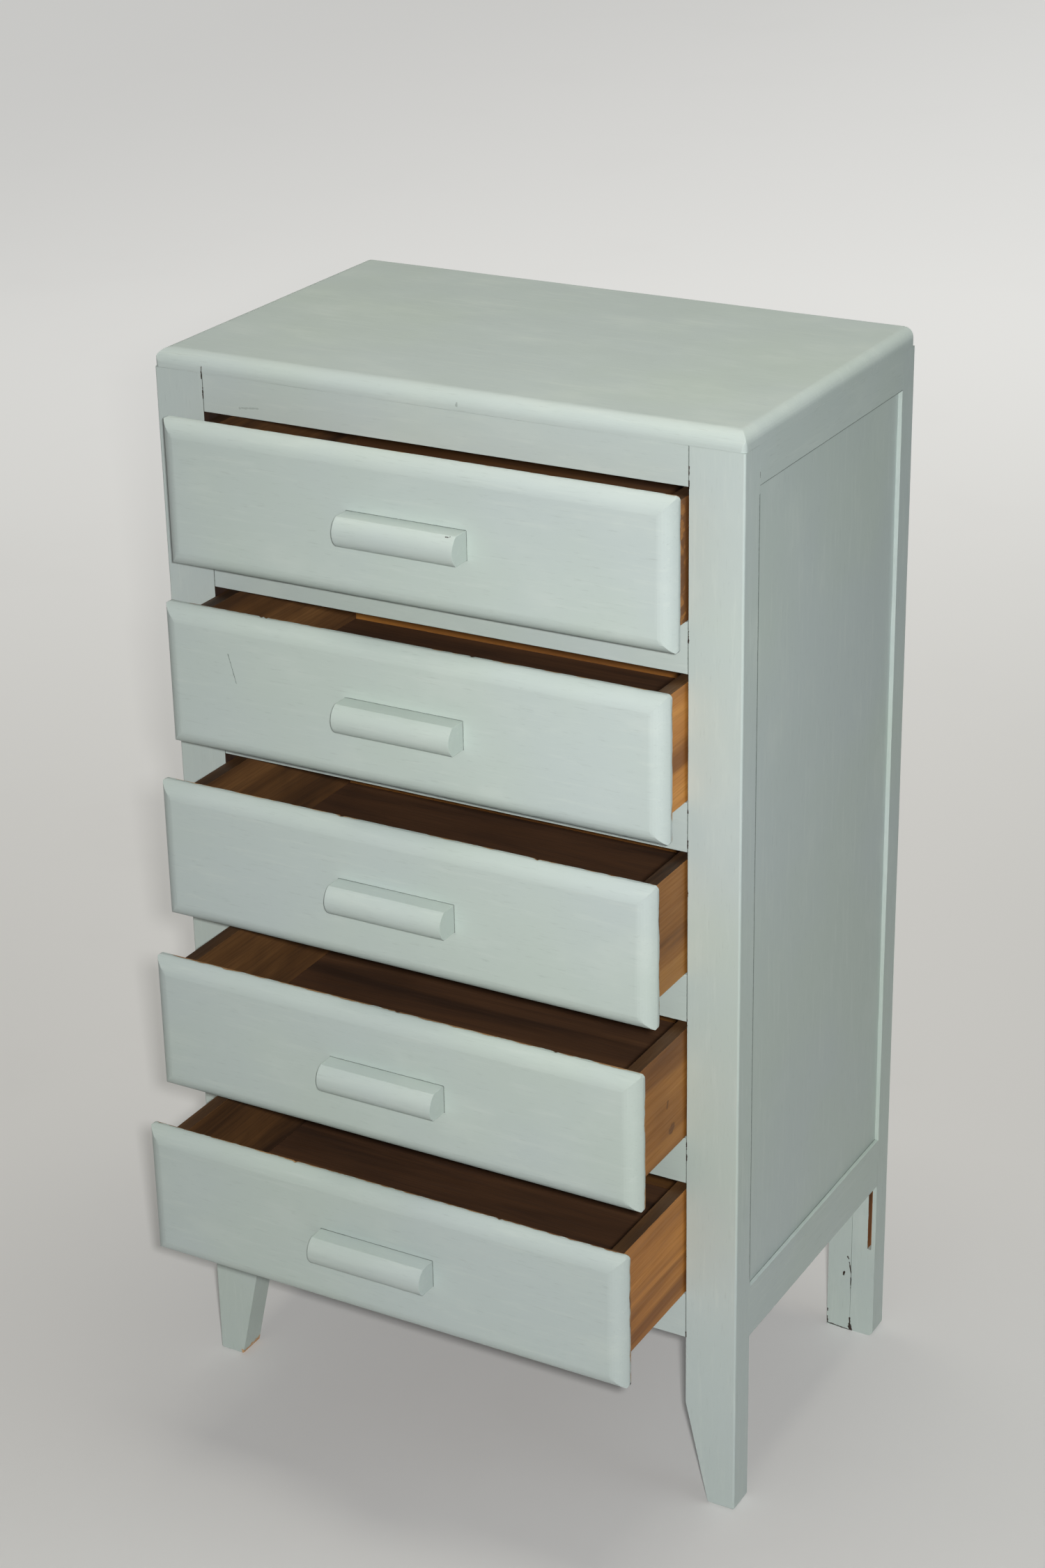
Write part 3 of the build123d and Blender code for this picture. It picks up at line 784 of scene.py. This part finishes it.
# Paler plywood on the back panel: painted light for the dim back.
dress("back_panel", make_wood("back_plywood", "Z", *LIGHTENED_BACK_PLY))
dress("back_panel_pins", steel)
for number in DRAWERS:
    dress(f"drawer_{number}_handle_screws", steel)


# --- floor, light and camera -------------------------------------------------------------


FLOOR_HALF = 20
FLOOR_NEAR = shade(213, 213, 212)
FLOOR_FAR = shade(237, 237, 232)
FLOOR_SMUDGE = shade(190, 188, 182)
FLOOR_DIM = shade(110, 110, 107)
# The floor's painted shade is deepest round this point, to the right of the dresser and in front of it.
FLOOR_MIDDLE = (0.6, -1.2, 0.0)
FLOOR_GLOW = (1.0, 1.0, 0.98, 1.0)


def make_floor():
    """A wide pale studio floor with painted light: it is lighter and glows more far off.
    Its front and right reflect little to the dresser.
    """
    shader = Shader("studio_floor")
    split = shader.add("ShaderNodeSeparateXYZ")
    shader.put(split.inputs[0], shader.point)
    x, y = split.outputs["X"], split.outputs["Y"]
    smudge = shader.noise(shader.point, scale=2.2, detail=4.0, roughness=0.6)
    reach = shader.vector("DISTANCE", shader.point, FLOOR_MIDDLE)
    # Painted light and shade: the floor is paler and glows more the farther it is from FLOOR_MIDDLE.
    colour = shader.blend(shader.ramp(reach, 1.0, 4.5), FLOOR_NEAR, FLOOR_FAR)
    colour = shader.blend(shader.ramp(smudge, 0.5, 0.8, to_high=0.12), colour, FLOOR_SMUDGE)
    sideways = shader.ramp(x, -4.5, 0.0, to_low=0.85, to_high=1.15)
    glow = shader.ramp(reach, 0.9, 5.5, to_low=0.06, to_high=0.53)
    glow = shader.math("MULTIPLY", glow, sideways)
    in_front = shader.ramp(y, -0.5, -1.1, to_high=0.7)
    around = shader.math("MAXIMUM", shader.ramp(x, 0.5, 1.1), in_front)
    seen = shader.add("ShaderNodeLightPath").outputs["Is Camera Ray"]
    unlit = shader.math("MULTIPLY", around, shader.math("SUBTRACT", 1.0, seen))
    colour = shader.blend(unlit, colour, FLOOR_DIM)
    # Painted light: to the camera, the floor in front and to the right glows.
    glow = shader.math("MAXIMUM", glow, shader.math("MULTIPLY", around, 0.42))
    glow = shader.math("MULTIPLY", glow, shader.math("SUBTRACT", 1.0, unlit))
    normal = shader.bump(smudge, 0.2 * MM)
    material = shader.surface(colour, 0.7, normal, glow=glow, emission_color=FLOOR_GLOW)
    bm = bmesh.new()
    bmesh.ops.create_grid(bm, x_segments=4, y_segments=4, size=FLOOR_HALF)
    mesh = bpy.data.meshes.new("studio_floor")
    bm.to_mesh(mesh)
    bm.free()
    mesh.materials.append(material)
    floor = bpy.data.objects.new("studio_floor", mesh)
    bpy.context.scene.collection.objects.link(floor)


def make_light(name, place, aim, size, power, tint, spread=180):
    """A square light, size metres wide, that shines from place towards aim with power in watts."""
    light = bpy.data.lights.new(name, "AREA")
    light.shape = "SQUARE"
    light.size = size
    light.energy = power
    light.spread = radians(spread)
    light.color = tint
    lamp = bpy.data.objects.new(name, light)
    lamp.location = place
    lamp.rotation_mode = "QUATERNION"
    lamp.rotation_quaternion = (Vector(aim) - Vector(place)).to_track_quat("-Z", "Y")
    bpy.context.scene.collection.objects.link(lamp)


AMBIENT_TINT = (1.0, 0.98, 0.98, 1.0)
AMBIENT_STRENGTH = 0.14
WALL_TINT = (0.62, 0.62, 0.6, 1.0)


def make_world():
    """Faint light from all round, and a pale wall for the camera to see."""
    world = bpy.data.worlds.new("studio")
    world.use_nodes = True
    nodes, links = world.node_tree.nodes, world.node_tree.links
    ambient = nodes["Background"]
    ambient.inputs["Color"].default_value = AMBIENT_TINT
    ambient.inputs["Strength"].default_value = AMBIENT_STRENGTH
    wall = nodes.new("ShaderNodeBackground")
    wall.inputs["Color"].default_value = WALL_TINT
    mix = nodes.new("ShaderNodeMixShader")
    links.new(nodes.new("ShaderNodeLightPath").outputs["Is Camera Ray"], mix.inputs[0])
    links.new(ambient.outputs[0], mix.inputs[1])
    links.new(wall.outputs[0], mix.inputs[2])
    links.new(mix.outputs[0], nodes["World Output"].inputs[0])
    bpy.context.scene.world = world


# The fitted camera: its place, its turn to the left, tilt down and roll in radians, and its lens and
# sensor in millimetres.
CAMERA_PLACE = (1.268, -2.262, 1.748)
CAMERA_TURN = 0.5182
CAMERA_TILT = 0.4167
CAMERA_ROLL = -0.0201
CAMERA_LENS = 71.1
CAMERA_SENSOR = 36


def make_camera():
    """The camera stands to the right of the dresser, looks down on it and leans a little."""
    camera_data = bpy.data.cameras.new("camera")
    camera_data.lens = CAMERA_LENS
    camera_data.sensor_width = CAMERA_SENSOR
    camera_data.clip_start = 0.05
    camera_data.clip_end = 60
    camera = bpy.data.objects.new("camera", camera_data)
    turn = Matrix.Rotation(CAMERA_TURN, 4, "Z") @ Matrix.Rotation(pi / 2 - CAMERA_TILT, 4, "X")
    camera.matrix_world = Matrix.Translation(CAMERA_PLACE) @ turn @ Matrix.Rotation(CAMERA_ROLL, 4, "Z")
    bpy.context.scene.collection.objects.link(camera)
    bpy.context.scene.camera = camera


make_floor()
make_world()
# The key stands for the flash beside the camera, so it is small and gives thin shadows.
make_light(
    "key", place=(1.312, -2.236, 1.77), aim=(0.08, 0.0, 0.65),
    size=0.07, power=12.4, tint=(1.0, 0.985, 0.97), spread=80,
)
make_light(
    "overhead", place=(0.0, 0.1, 3.0), aim=(0.0, 0.0, 0.0),
    size=1.2, power=23.5, tint=(1.0, 0.965, 0.86),
)
make_light(
    "fill", place=(1.35, -0.1, 1.25), aim=(0.28, 0.0, 0.95),
    size=0.6, power=1.6, tint=(0.83, 0.95, 1.0),
)
make_camera()
bpy.context.scene.view_settings.view_transform = "Standard"
